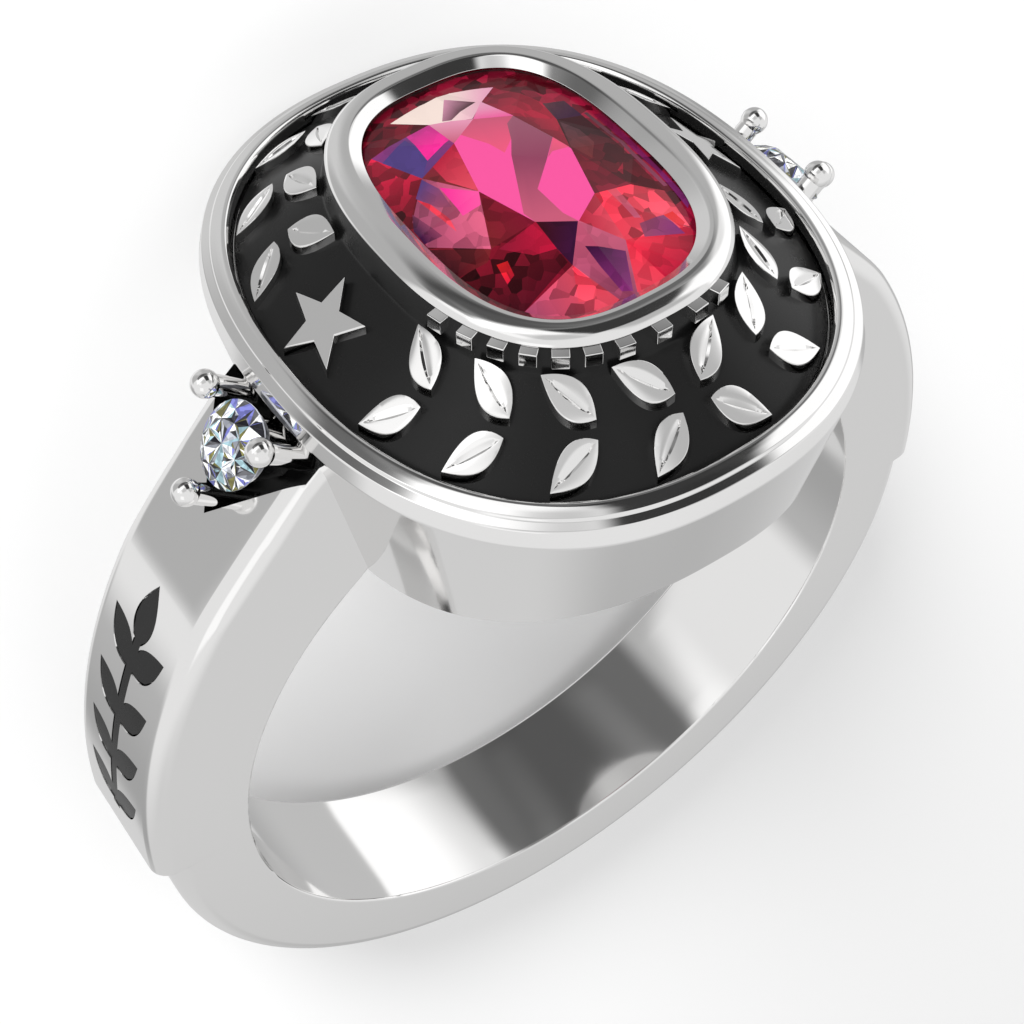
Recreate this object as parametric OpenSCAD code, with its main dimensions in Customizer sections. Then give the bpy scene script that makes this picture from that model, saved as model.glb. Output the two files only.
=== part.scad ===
// Class ring: a polished casting with an oval head, a bezel-set cushion stone, a dark collar with
// raised laurel leaves and stars, two prong-set accent stones and dark shoulder inlays.
//
// It is drawn upright first: X runs across the shoulders, Y along the finger, Z from the finger's
// axis up through the head. lay_down() then rests it on its side, as a ring lies on a table.

/* [Finger hole] */
// Inside diameter, US size 7
finger_d = 17.3; // [15:0.1:21]
// Diameter of the gallery hole under the centre stone
gallery_d = 4.4; // [3:0.1:4.8]

/* [Band] */
// Width of the band along the finger
band_w = 3.5; // [3:0.1:4.2]
// Thickness of the shank below the panels
shank_t = 2.0; // [1.6:0.05:2.3]
// Rounding of the band's outer edges
band_round = 0.45; // [0.2:0.05:0.7]

/* [Shoulders] */
// Thickness of the metal at the lower end of the panels
panel_t = 2.35; // [2.2:0.05:2.8]
// Radius of the panels' flatter outer curve
panel_r = 13.8; // [12.8:0.1:16]
// Height of the panels' lower ends above the finger's axis
panel_low = 0.0; // [-1:0.1:1]
// Height of the corner between panel and facet
facet_low = 7.75; // [7:0.05:8.1]
// Slope of the facets below the level
facet_slope = 48.7; // [46:0.1:51]
// Height of the inlay's foot above the panel's lower end
inlay_low = 1.0; // [0.5:0.1:1.2]
// Length of the dark inlay along the panel
inlay_l = 6.4; // [4:0.1:6.5]
// Width of the inlay's leaves across the panel
inlay_w = 2.0; // [1.6:0.1:2.4]
// Depth of the inlay
inlay_depth = 0.2; // [0.1:0.05:0.4]
// Leaf pairs in each inlay
inlay_pairs = 4; // [3:1:5]
// Width of the inlay's stem
stem_w = 0.24; // [0.16:0.02:0.4]

/* [Head] */
// Height of the rim's lower edge above the finger's axis
head_z = 11.07; // [10.8:0.05:11.6]
// Width of the head across the shoulders
head_w = 12.0; // [11.4:0.1:12.8]
// Length of the head along the finger
head_l = 13.9; // [13.2:0.1:15]
// Squareness of the rim's outline, 2 for an ellipse
head_sq = 2.32; // [2.1:0.02:2.6]
// How far the cup narrows for each millimetre down
cup_draft = 0.2; // [0.1:0.01:0.24]
// Height of the rim
rim_h = 0.62; // [0.45:0.01:0.9]
// Width of the rim from its outer to its inner edge
rim_w = 0.7; // [0.5:0.01:0.85]

/* [Collar] */
// Drop from the rim's crest to the dark surface at its outer edge
collar_drop = 0.35; // [0.2:0.01:0.4]
// Height of the dark slope
collar_rise = 1.42; // [1.1:0.01:1.5]
// Height of the steep wall between slope and bezel
wall_h = 0.6; // [0.5:0.01:0.8]
// How far the steep wall leans out at its foot
wall_lean = 0.15; // [0.05:0.01:0.25]
// Thickness of the dark fill
enamel_t = 0.15; // [0.1:0.01:0.2]
// Height of the raised relief above the dark surface
relief_h = 0.22; // [0.1:0.01:0.35]
// Tip radius of the stars, as a share of the slope's width
star_share = 0.55; // [0.4:0.01:0.58]
// Leaf pairs between a star and the middle of a long side
leaf_pairs = 4; // [3:1:5]
// Length of a leaf, as a share of the slope's width
leaf_share = 0.63; // [0.5:0.01:0.65]
// Width of a leaf, as a share of its length
leaf_shape = 0.51; // [0.3:0.01:0.55]
// Bars in a row on the near side of the steep wall
bar_count = 10; // [4:1:12]
// Where the row of bars begins, as an angle round the stone
bar_start = 196; // [180:1:230]
// How far the row of bars runs round the stone, in degrees
bar_span = 98; // [80:1:120]
// Width of a bar
bar_w = 0.34; // [0.2:0.02:0.5]
// Height of a bar
bar_h = 0.32; // [0.2:0.02:0.44]
// How far the bars stand out from the top of the steep wall
bar_out = 0.27; // [0.1:0.01:0.35]

/* [Bezel and centre stone] */
// Width of the centre stone across the shoulders
stone_w = 5.2; // [4.8:0.05:5.5]
// Length of the centre stone along the finger
stone_l = 7.3; // [6.9:0.05:7.6]
// Squareness of the stone's outline
stone_sq = 2.87; // [2.4:0.02:3.2]
// Height of the table above the girdle
crown_h = 0.55; // [0.45:0.05:0.8]
// Depth of the pavilion below the girdle
pavilion_h = 2.1; // [1.8:0.05:2.4]
// How far the bezel's lip covers the stone's edge
bezel_lip = 0.13; // [0.05:0.01:0.2]
// Thickness of the lip over the girdle
lip_t = 0.2; // [0.15:0.01:0.3]
// Drop from the bezel's crest to the top of the lip
lip_drop = 0.14; // [0.08:0.01:0.2]
// Width of the bezel at the stone's sides, from its visible edge to the bezel's outer edge
bezel_w = 0.83; // [0.7:0.01:0.95]
// Width of the bezel at the stone's ends
bezel_end_w = 0.76; // [0.65:0.01:0.9]
// Height of the bezel above the steep wall
bezel_h = 0.25; // [0.2:0.01:0.4]
// Squareness of the bezel's outline
bezel_sq = 2.5; // [2.3:0.02:2.8]

/* [Accent stones] */
// Diameter of each accent stone
accent_d = 1.78; // [1.4:0.02:1.84]
// Distance from the head's rim to the stone's axis, along the facet
accent_side = 0.8; // [0.76:0.01:1]
// Height of the girdle above the facet
accent_up = 0.34; // [0.2:0.01:0.4]
// Height of the prong tips above the facet
prong_up = 1.05; // [0.8:0.01:1.2]
// Diameter of the prongs
prong_d = 0.46; // [0.3:0.02:0.5]
// Diameter of the prongs' ball tips
ball_d = 0.58; // [0.5:0.02:0.62]
// Depth of the triangular pocket in each facet
pocket_depth = 0.8; // [0.5:0.05:1]
// Distance from the stone's axis to the pocket's point, along the facet
pocket_reach = 1.66; // [1.5:0.01:1.8]

/* [Clearances] */
// Gap round each stone
stone_gap = 0.03; // [0.02:0.01:0.06]
// Gap round the dark fill and the inlays
fill_gap = 0.02; // [0.01:0.01:0.04]

/* [Hidden] */
segs = 96;
eps = 0.01;
past = 1; // how far a cutting shape runs past the metal

// Band and shoulders
bore_r = finger_d / 2;
shank_r = bore_r + shank_t;
panel_x = bore_r + panel_t;
panel_centre = panel_r - panel_x;
facet_x = sqrt(panel_r * panel_r - facet_low * facet_low) - panel_centre;
flat_z = head_z - 0.2; // the band's top, hidden inside the head
cap_angle = atan2(facet_x - (flat_z - facet_low) / tan(facet_slope), flat_z);
corner_angle = atan2(facet_x, facet_low);
end_angle = 90 - asin(panel_low / panel_x);
step_angle = 0.4; // the turn in which the panel drops to the shank
inlay_run = min(inlay_l, facet_low - 0.2 - panel_low - inlay_low); // stops short of the facet

// Accent stone and pocket by their place on the facet, up from its lower corner
accent_s = (facet_x - head_w / 2) / cos(facet_slope) - accent_side;
pocket_s = accent_s - pocket_reach;
pocket_half = band_w / 2 - 0.13; // leaves a thin wall beside the pocket
pocket_top = pocket_s + pocket_half * tan(52);

// Ovals are [half width, half length, squareness]; grow() widens one all round
function grow(o, d) = [o[0] + d, o[1] + d, o[2]];
function blend(p, q, k) = p + (q - p) * k;

// Profiles of the rim and the bezel: steps inward and upward, as shares of their width and height
rim_profile = [[0, 0], [0.12, 0.6], [0.37, 0.73], [0.4, 0.81], [0.57, 0.91], [0.69, 0.97], [0.86, 0.94]];
bezel_profile = [[0, 0], [0.04, 0.3], [0.16, 0.65], [0.33, 0.88], [0.48, 0.97], [0.6, 1]];

// Heights and outlines of the head, from the rim up to the stone
rim_foot = [head_w / 2, head_l / 2, head_sq];
collar_foot = grow(rim_foot, -rim_w);
collar_z = head_z + rim_h - collar_drop;
wall_z = collar_z + collar_rise;
bezel_z = wall_z + wall_h;
crest_z = bezel_z + bezel_h;
lip_z = crest_z - lip_drop;
girdle_z = lip_z - lip_t;
girdle_t = 0.08;
stone_edge = [stone_w / 2, stone_l / 2, stone_sq];
stone_seen = grow(stone_edge, -bezel_lip);
bezel_edge = [stone_seen[0] + bezel_w, stone_seen[1] + bezel_end_w, bezel_sq];
overhang = 0.05; // how far the bezel stands out over the steep wall
bar_lap = 0.02; // how far the bars reach above the bezel's lower edge
wall_top = grow(bezel_edge, -overhang);
wall_foot = grow(wall_top, wall_lean);

// Accent settings: height of the balls' centres, radius of the prong circle, foot of the prongs,
// depth of the stone
ball_up = prong_up - ball_d / 2;
tip_r = accent_d / 2 + stone_gap + ball_d / 2;
root = -pocket_depth - 0.1;
accent_depth = 0.42 * accent_d;

// Superellipse of half width o[0] and half length o[1], at height z
function oval_point(o, t) = [
    o[0] * sign(cos(t)) * pow(abs(cos(t)), 2 / o[2]),
    o[1] * sign(sin(t)) * pow(abs(sin(t)), 2 / o[2])];
function oval(o, z) = [for (i = [0:segs - 1]) let (p = oval_point(o, i * 360 / segs)) [p[0], p[1], z]];

// Direction along an oval at angle t
function bearing(o, t) = let (d = oval_point(o, t + 1) - oval_point(o, t - 1)) atan2(d[1], d[0]);

// Closed solid through a stack of ovals, each given as [oval, height]
module loft(stack) {
    last = len(stack) - 1;
    bottom = [for (i = [0:segs - 1]) i];
    top = [for (i = [segs - 1:-1:0]) last * segs + i];
    sides = [for (k = [0:last - 1]) for (i = [0:segs - 1])
        let (a = k * segs + i, b = k * segs + (i + 1) % segs)
            each [[a, a + segs, b], [b, a + segs, b + segs]]];
    polyhedron(
        points = [for (s = stack) each oval(s[0], s[1])],
        faces = concat([bottom], sides, [top]));
}

// The metal of the head, from inside the finger hole up to the bezel's lip
module head_form() {
    cup_z = 0.7 * bore_r;
    loft(concat(
        [[grow(rim_foot, -cup_draft * (head_z - cup_z)), cup_z]],
        [for (p = rim_profile) [grow(rim_foot, -p[0] * rim_w), head_z + p[1] * rim_h]],
        [[collar_foot, collar_z],
         [collar_foot, collar_z - enamel_t],
         [grow(wall_foot, -enamel_t), wall_z - enamel_t],
         [grow(wall_top, -enamel_t), bezel_z]],
        [for (p = bezel_profile) [blend(bezel_edge, stone_seen, p[0]), bezel_z + p[1] * bezel_h]],
        [[stone_seen, lip_z]]));
}

// Hollow for the centre stone: lip, girdle groove, ledge and round gallery hole
module stone_pocket() {
    hole = [gallery_d / 2, gallery_d / 2, 2];
    groove = grow(stone_edge, stone_gap);
    half_groove = girdle_t / 2 + stone_gap;
    ledge = 0.12;
    loft([
        [hole, bore_r - 2 * past],
        [hole, girdle_z - pavilion_h / 2],
        [grow(groove, -ledge), girdle_z - half_groove - ledge],
        [groove, girdle_z - half_groove],
        [groove, girdle_z + half_groove],
        [grow(stone_seen, stone_gap), lip_z - eps],
        [grow(stone_seen, stone_gap), crest_z + past]]);
}

// Solid below the dark surface of the collar, raised by d
module collar_form(d) {
    loft([
        [collar_foot, collar_z - past],
        [collar_foot, collar_z + d],
        [grow(wall_foot, d), wall_z + d],
        [grow(wall_top, d), bezel_z]]);
}

// Five-pointed star with a tip along Y; flat narrows it across, for the slope that it stands on
function star_points(r, flat) = [for (i = [0:9])
    let (q = i % 2 == 0 ? r : 0.414 * r, a = 18 + 36 * i) [q * cos(a) * flat, q * sin(a)]];

// Pointed leaf along X from the origin, its sides two arcs
function leaf_points(l, w) = [for (side = [1, -1]) for (i = [0:4])
    let (k = side > 0 ? i / 5 : 1 - i / 5) [l * k, side * w * 2 * k * (1 - k) * (1.25 - 0.5 * k)]];

// Sizes of the relief, from the slope's width in plan where it is narrowest
slope_w = min(collar_foot[0] - wall_foot[0], collar_foot[1] - wall_foot[1]);
star_r = star_share * slope_w;
leaf_l = leaf_share * slope_w;
leaf_w = leaf_shape * leaf_l;

// Angles on the collar's middle line by distance from the star, along a quarter of it
collar_mid = blend(collar_foot, wall_foot, 0.5);
quarter = [for (i = [0:90]) oval_point(collar_mid, i)];
steps = [for (i = [0:89]) norm(quarter[i + 1] - quarter[i])];
function run(i) = i == 0 ? 0 : run(i - 1) + steps[i - 1];
runs = [for (i = [0:90]) [run(i), i]];
quarter_l = runs[90][0];

leaf_spread = 37; // angle of a leaf to the middle line
leaf_root = 0.13 * slope_w; // bare length between a pair's meeting point and its leaves

// Leaf pairs in plan from the middle of a long side to the star, each pointing at the star
module leaf_quarter(extra) {
    pitch = (quarter_l - 1.25 * star_r) / leaf_pairs;
    for (i = [0:leaf_pairs - 1]) {
        start = quarter_l - (i + 0.06) * pitch;
        a = oval_point(collar_mid, lookup(start, runs));
        b = oval_point(collar_mid, lookup(start - leaf_l, runs));
        translate(a) rotate(atan2(b[1] - a[1], b[0] - a[0])) for (s = [1, -1])
            rotate(s * leaf_spread) translate([leaf_root - extra, 0])
                polygon(leaf_points(leaf_l + 2 * extra, leaf_w + 2 * extra));
    }
}

module collar_pattern(extra = 0) {
    flat = 0.935 * cos(atan2(collar_rise, collar_foot[0] - wall_foot[0]));
    star_at = [collar_mid[0] + 0.13, 0.21 * star_r];
    for (sx = [0, 1]) mirror([sx, 0]) {
        translate(star_at) polygon(star_points(star_r + 2 * extra, flat));
        for (sy = [0, 1]) mirror([0, sy]) leaf_quarter(extra);
    }
}

// Bars on the upper part of the steep wall, under the bezel and standing out past it
module wall_bars(extra = 0) {
    out = bar_out + extra;
    for (i = [0:bar_count - 1]) {
        t = bar_start + (i + 0.5) * bar_span / bar_count;
        translate(concat(oval_point(wall_top, t), bezel_z + bar_lap - bar_h - extra))
            rotate(bearing(wall_top, t)) translate([-bar_w / 2 - extra, -out, 0])
                cube([bar_w + 2 * extra, out + 2 * enamel_t, bar_h + 2 * extra]);
    }
}

module collar_relief() {
    intersection() {
        collar_form(relief_h);
        translate([0, 0, collar_z - past / 2]) linear_extrude(collar_rise + 2 * past) collar_pattern();
    }
    wall_bars();
}

// The band's outer radius at an angle from the head's axis, for its outline set in by d: the round
// shank, and above the panels' lower ends the flatter panel curve, the facet and a flat in the head
function panel_at(t, d) = sqrt(pow(panel_r - d, 2) - pow(panel_centre * cos(t), 2)) - panel_centre * sin(t);
function facet_at(t, d) =
    (facet_x * sin(facet_slope) + facet_low * cos(facet_slope) - d) / cos(t - facet_slope);
function shoulder_at(t, d) = min(panel_at(t, d), facet_at(t, d), flat_z / max(cos(t), 0.1));
function outer_at(t, d) = t < end_angle ? shoulder_at(t, d) : shank_r - d;

// Section of the band at angle t, as [distance from the axis, place along the finger]: the inner
// edge, inside the finger hole, then the outer edge with its two rounded corners
corner = [for (k = [0:4]) [1 - sin(22.5 * k), 1 - cos(22.5 * k)] * band_round];
section_n = 2 + 2 * len(corner);
function band_section(t) = concat(
    [[bore_r - past, -band_w / 2], [bore_r - past, band_w / 2]],
    [for (k = [0:4]) [outer_at(t, corner[k][0]), band_w / 2 - corner[k][1]]],
    [for (k = [4:-1:0]) [outer_at(t, corner[k][0]), corner[k][1] - band_w / 2]]);

// Angles of the sections on the right side, from the top down
half_turn = concat(
    [for (i = [0:2]) blend(0, cap_angle, i / 2)],
    [for (i = [1:3]) blend(cap_angle, corner_angle, i / 3)],
    [for (i = [1:14]) blend(corner_angle, end_angle - step_angle, i / 14)],
    [for (i = [0:15]) blend(end_angle, 180, i / 15)]);

module band() {
    stations = concat(half_turn, [for (i = [len(half_turn) - 2:-1:1]) -half_turn[i]]);
    total = len(stations) * section_n;
    points = [for (t = stations) for (p = band_section(abs(t))) [p[0] * sin(t), p[1], p[0] * cos(t)]];
    polyhedron(points = points, faces = [for (k = [0:section_n:total - 1]) for (i = [0:section_n - 1])
        let (a = k + i, b = k + (i + 1) % section_n, c = (a + section_n) % total, d = (b + section_n) % total)
            each [[a, c, b], [b, c, d]]]);
}

// Frame of the right facet: origin on its lower corner, Z out of the facet, X down the slope
module on_facet() {
    translate([facet_x, 0, facet_low]) rotate([0, facet_slope, 0]) children();
}

// Triangular pocket under an accent stone, cut into the right facet as far as the head
module facet_pocket() {
    far = pocket_top + past;
    on_facet() translate([0, 0, -pocket_depth]) linear_extrude(pocket_depth + 2 * past)
        polygon([[-pocket_s, 0], [-pocket_top, pocket_half], [-far, pocket_half],
                 [-far, -pocket_half], [-pocket_top, -pocket_half]]);
}

// Frame of the right accent stone: Z along its axis, origin on the facet
module on_accent() {
    on_facet() translate([-accent_s, 0, 0]) children();
}

// Three prongs, with a conical seat between them that the stone hides from above
module accent_setting() {
    seat_top = accent_up - 0.25;
    seat_r = 0.84 * accent_d / 2;
    hollow = accent_depth + stone_gap;
    on_accent() {
        for (a = [0, 120, 240]) rotate(a) translate([tip_r, 0, 0]) {
            translate([0, 0, root]) cylinder(h = ball_up - root, d = prong_d, $fn = 32);
            translate([0, 0, ball_up]) sphere(d = ball_d, $fn = 32);
        }
        difference() {
            translate([0, 0, root]) cylinder(h = seat_top - root, r1 = 0.5, r2 = seat_r, $fn = 48);
            translate([0, 0, accent_up - hollow])
                cylinder(h = hollow, r1 = 0, r2 = accent_d / 2 + 2 * stone_gap, $fn = 48);
        }
    }
}

// Convex stone through rings of points
module cut_stone(points) {
    hull() polyhedron(points = points, faces = [[for (i = [0:len(points) - 1]) i]]);
}

function stone_ring(o, z, n, turn) = [for (i = [0:n - 1])
    let (p = oval_point(o, i * 360 / n + turn)) [p[0], p[1], z]];

// Cushion cut: table, crown, girdle, pavilion and a short keel
module centre_stone_form() {
    free = gallery_d / 2 - 4 * stone_gap; // clear of the gallery hole's edge
    table = [0.5 * stone_edge[0], 0.54 * stone_edge[1], 2.4];
    belly = [min(0.62 * stone_edge[0], free), min(0.62 * stone_edge[1], free), 2.3];
    keel = [0.04, 0.5, 2];
    cut_stone(concat(
        stone_ring(table, girdle_z + crown_h, 8, 22.5),
        stone_ring(blend(table, stone_edge, 0.52), girdle_z + 0.62 * crown_h, 8, 0),
        stone_ring(stone_edge, girdle_z + girdle_t / 2, 32, 0),
        stone_ring(stone_edge, girdle_z - girdle_t / 2, 32, 0),
        stone_ring(belly, girdle_z - 0.5 * pavilion_h, 16, 0),
        stone_ring(keel, girdle_z - pavilion_h, 8, 0)));
}

// Round brilliant: table, crown, girdle, pavilion and point
module accent_stone_form() {
    r = accent_d / 2;
    function disc(k) = [k * r, k * r, 2];
    on_accent() translate([0, 0, accent_up]) cut_stone(concat(
        stone_ring(disc(0.55), 0.32 * r, 8, 22.5),
        stone_ring(disc(0.78), 0.2 * r, 8, 0),
        stone_ring(disc(1), 0.02 * r, 16, 0),
        stone_ring(disc(1), -0.02 * r, 16, 0),
        stone_ring(disc(0.42), -0.5 * r, 8, 0),
        [[0, 0, -accent_depth]]));
}

// Leaf sprig of the right panel, standing across it: a stem, leaf pairs and a leaf at the top
module sprig(extra) {
    spread = 48;
    low = panel_low + inlay_low;
    pitch = inlay_run / (inlay_pairs + 0.5);
    reach = inlay_w / 2 / sin(spread);
    leaf_t = 0.46 * pitch + 2 * extra;
    tall = past + panel_t + 2;
    rotate([90, 0, 90]) {
        translate([-stem_w / 2 - extra, low - extra, 0])
            cube([stem_w + 2 * extra, inlay_run - pitch / 2 + 2 * extra, tall]);
        for (i = [0:inlay_pairs - 1]) for (s = [1, -1])
            translate([0, low + (i + 0.1) * pitch, 0]) rotate(90 + s * spread) translate([-extra, 0])
                linear_extrude(tall) polygon(leaf_points(reach + 2 * extra, leaf_t));
        translate([0, low + inlay_run - pitch - extra, 0]) rotate(90)
            linear_extrude(tall) polygon(leaf_points(pitch + 2 * extra, leaf_t));
    }
}

// Part of the right panel's skin under the sprig, from depth d1 to depth d2
module panel_skin(d1, d2, extra) {
    intersection() {
        translate([-panel_centre, 0, 0]) rotate([90, 0, 0]) difference() {
            cylinder(h = band_w, r = panel_r - d1, center = true, $fn = 128);
            cylinder(h = band_w + past, r = panel_r - d2, center = true, $fn = 128);
        }
        translate([bore_r - 2, 0, 0]) sprig(extra);
    }
}

module both_sides() {
    children();
    mirror([1, 0, 0]) children();
}

// Rest on the side: the tilt at which the floor touches both the head and the rounded shank
foot_y = band_w / 2 - band_round;
foot_z = band_round - shank_r;
function tilt_at(y, z) = let (dy = y - foot_y, dz = z - foot_z)
    atan2(dy, dz) - asin(band_round / norm([dy, dz]));
tilt = max(tilt_at(rim_foot[1], head_z), tilt_at(rim_foot[1] - cup_draft * (head_z - bore_r), bore_r));
floor_h = foot_y * cos(tilt) - foot_z * sin(tilt) + band_round;
far_y = foot_y * sin(tilt) - foot_z * cos(tilt) + band_round;
near_y = max([for (p = bezel_profile)
    (bezel_edge[1] - p[0] * bezel_end_w) * sin(tilt) + (bezel_z + p[1] * bezel_h) * cos(tilt)]);

module lay_down() {
    translate([0, (near_y - far_y) / 2, floor_h]) rotate([90 - tilt, 0, 0]) rotate([0, 0, 180]) children();
}

module ring_body() {
    color("silver") lay_down() difference() {
        union() {
            difference() {
                band();
                both_sides() facet_pocket();
            }
            head_form();
            both_sides() accent_setting();
            collar_relief();
        }
        rotate([90, 0, 0]) cylinder(h = 2 * head_l, r = bore_r, center = true, $fn = 180);
        stone_pocket();
        both_sides() panel_skin(-past, inlay_depth, fill_gap);
    }
}

module centre_stone() {
    color("crimson") lay_down() centre_stone_form();
}

module accent_stone_left() {
    color("aliceblue") lay_down() mirror([1, 0, 0]) accent_stone_form();
}

module accent_stone_right() {
    color("aliceblue") lay_down() accent_stone_form();
}

module collar_enamel() {
    edge = grow(collar_foot, -fill_gap);
    under = enamel_t - fill_gap;
    color("black") lay_down() difference() {
        loft([
            [edge, collar_z - under],
            [edge, collar_z],
            [wall_foot, wall_z],
            [wall_top, bezel_z - fill_gap]]);
        loft([
            [edge, collar_z - 2 * past],
            [edge, collar_z - under],
            [grow(wall_foot, -under), wall_z - under],
            [grow(wall_top, -under), bezel_z]]);
        translate([0, 0, collar_z - past]) linear_extrude(collar_rise + 2 * past) collar_pattern(fill_gap);
        wall_bars(fill_gap);
    }
}

module shoulder_inlay_left() {
    color("black") lay_down() mirror([1, 0, 0]) panel_skin(fill_gap, inlay_depth - fill_gap, 0);
}

module shoulder_inlay_right() {
    color("black") lay_down() panel_skin(fill_gap, inlay_depth - fill_gap, 0);
}

ring_body();
centre_stone();
accent_stone_left();
accent_stone_right();
collar_enamel();
shoulder_inlay_left();
shoulder_inlay_right();
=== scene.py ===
"""Class ring lying on its side: polished metal, red cushion stone, dark collar, two small brilliants."""
from math import asin, atan2, cos, hypot, pi, radians, sin, sqrt, tan

import bmesh
import bpy
import numpy as np
from mathutils import Matrix, Vector
from mathutils.geometry import delaunay_2d_cdt

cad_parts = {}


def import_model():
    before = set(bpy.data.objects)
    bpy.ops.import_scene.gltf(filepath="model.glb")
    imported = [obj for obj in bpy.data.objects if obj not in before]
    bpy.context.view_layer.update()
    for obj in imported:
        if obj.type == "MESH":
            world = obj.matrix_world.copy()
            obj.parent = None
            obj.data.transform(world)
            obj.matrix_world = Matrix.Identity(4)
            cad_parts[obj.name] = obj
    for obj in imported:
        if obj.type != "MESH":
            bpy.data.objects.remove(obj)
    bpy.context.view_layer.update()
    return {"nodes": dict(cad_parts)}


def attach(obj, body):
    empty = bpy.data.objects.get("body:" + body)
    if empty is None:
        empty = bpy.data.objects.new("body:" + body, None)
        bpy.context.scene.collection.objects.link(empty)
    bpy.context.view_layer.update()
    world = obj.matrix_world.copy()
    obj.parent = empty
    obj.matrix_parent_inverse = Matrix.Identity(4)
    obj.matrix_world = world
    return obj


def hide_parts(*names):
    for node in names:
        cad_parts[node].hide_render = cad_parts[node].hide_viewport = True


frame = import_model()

# Sizes in millimetres, with the ring upright as in the part's source:
# X across the shoulders, Y along the finger, Z from the finger's axis up through the head
BORE_R = 8.65
BAND_W = 3.5
SHANK_R = 10.65
BAND_ROUND = 0.45
BORE_ROUND = 0.07
PANEL_R = 13.8
PANEL_CENTRE = 2.8
SHOULDER_END = pi / 2
SHOULDER_STEP = radians(0.4)
CREASE, CREASE_FINE = 0.1, 0.02
FACET_LOW = 7.75
FACET_SLOPE = radians(48.7)
FACET_X = sqrt(PANEL_R**2 - FACET_LOW**2) - PANEL_CENTRE
INLAY_DEPTH = 0.2
INLAY_LOW = 1.0
INLAY_RUN = 6.4
INLAY_W = 2.0
INLAY_PAIRS = 4
STEM_W = 0.24
SPRIG_SPREAD = radians(48)
SPRIG_LEAF_W = 0.46
FILL_GAP = 0.02
HEAD_Z = 11.07
HEAD_LOW = 6.0
SHOULDER_TOP = HEAD_Z - 0.2
CUP_DRAFT = 0.2
OVAL_SPREAD = 0.86
RIM_FOOT = np.array([6.0, 6.95, 2.32])
COLLAR_FOOT = np.array([5.3, 6.25, 2.32])
COLLAR_Z = 11.34
WALL_FOOT = np.array([3.40, 4.38, 2.5])
WALL_Z = 12.76
WALL_TOP = np.array([3.25, 4.23, 2.5])
BEZEL_Z = 13.36
BEZEL_EDGE = np.array([3.30, 4.28, 2.5])
BEZEL_END_W = 0.76
BEZEL_H = 0.25
BEZEL_PROFILE = [(0, 0), (0.04, 0.3), (0.16, 0.65), (0.33, 0.88), (0.48, 0.97), (0.6, 1)]
# Stations in from the foot and up, each with the rounding of its corner
RIM_PATH = [(0.085, 0.371, 0.03), (0.257, 0.451, 0.02), (0.28, 0.502, 0.02), (0.4, 0.562, 0.03),
            (0.48, 0.597, 0.03), (0.52, 0.602, 0.02), (0.58, 0.597, 0.03), (0.645, 0.52, 0.03)]
# The same for the bezel's top, the first number a share of the way from its outer edge to the stone
CREST_PATH = [(0.01, 0.03, 0.02), (0.04, 0.075, 0.03), (0.105, 0.135, 0.04), (0.184, 0.178, 0.04),
              (0.263, 0.207, 0.04), (0.355, 0.228, 0.04), (0.447, 0.241, 0.04), (0.52, 0.247, 0.03),
              (0.58, 0.25, 0.02), (0.68, 0.243, 0.04)]
STONE_SEEN = np.array([2.47, 3.52, 2.87])
STONE_EDGE = np.array([2.6, 3.65, 2.87])
LIP_Z = 13.47
GIRDLE_Z = 13.27
GIRDLE_T = 0.08
CROWN_H = 0.55
PAVILION_H = 2.1
GALLERY_R = 2.2
STONE_GAP = 0.03
ENAMEL_T = 0.15
RELIEF_H = 0.22
SLOPE_W = 1.87
STAR_R = 0.55 * SLOPE_W
STAR_INNER, STAR_FLAT, STAR_IN, STAR_SIDE = 0.414, 0.935, 0.13, 0.21
LEAF_PAIRS, LEAF_L, LEAF_W = 4, 0.63 * SLOPE_W, 0.51 * 0.63 * SLOPE_W
LEAF_SPREAD, LEAF_ROOT = radians(37), 0.13 * SLOPE_W
LEAF_SETBACK, LEAF_GROOVE = 0.06, 0.045
VEIN_START, VEIN_RUN, VEIN_W = 0.1, 0.8, 0.03
BAR_COUNT, BAR_START, BAR_SPAN = 10, 196, 98
BAR_W, BAR_H, BAR_OUT, BAR_LAP = 0.34, 0.32, 0.27, 0.02
ACCENT_D, ACCENT_UP = 1.78, 0.34
ACCENT_S = (FACET_X - RIM_FOOT[0]) / cos(FACET_SLOPE) - 0.8
PRONG_UP, PRONG_D, BALL_D = 1.05, 0.46, 0.58
SEAT_DROP, SEAT_SHARE, SEAT_DEPTH = 0.25, 0.84, 0.42
SPLINTERS = 150
POCKET_DEPTH, POCKET_S, POCKET_HALF = 0.8, ACCENT_S - 1.66, 1.62
POCKET_TOP = POCKET_S + POCKET_HALF * tan(radians(52))

# How the ring rests on its side: tilted until the floor touches the head and the shank
FOOT_Y, FOOT_Z = BAND_W / 2 - BAND_ROUND, BAND_ROUND - SHANK_R


def tilt_at(y, z):
    dy, dz = y - FOOT_Y, z - FOOT_Z
    return atan2(dy, dz) - asin(BAND_ROUND / hypot(dy, dz))


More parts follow.
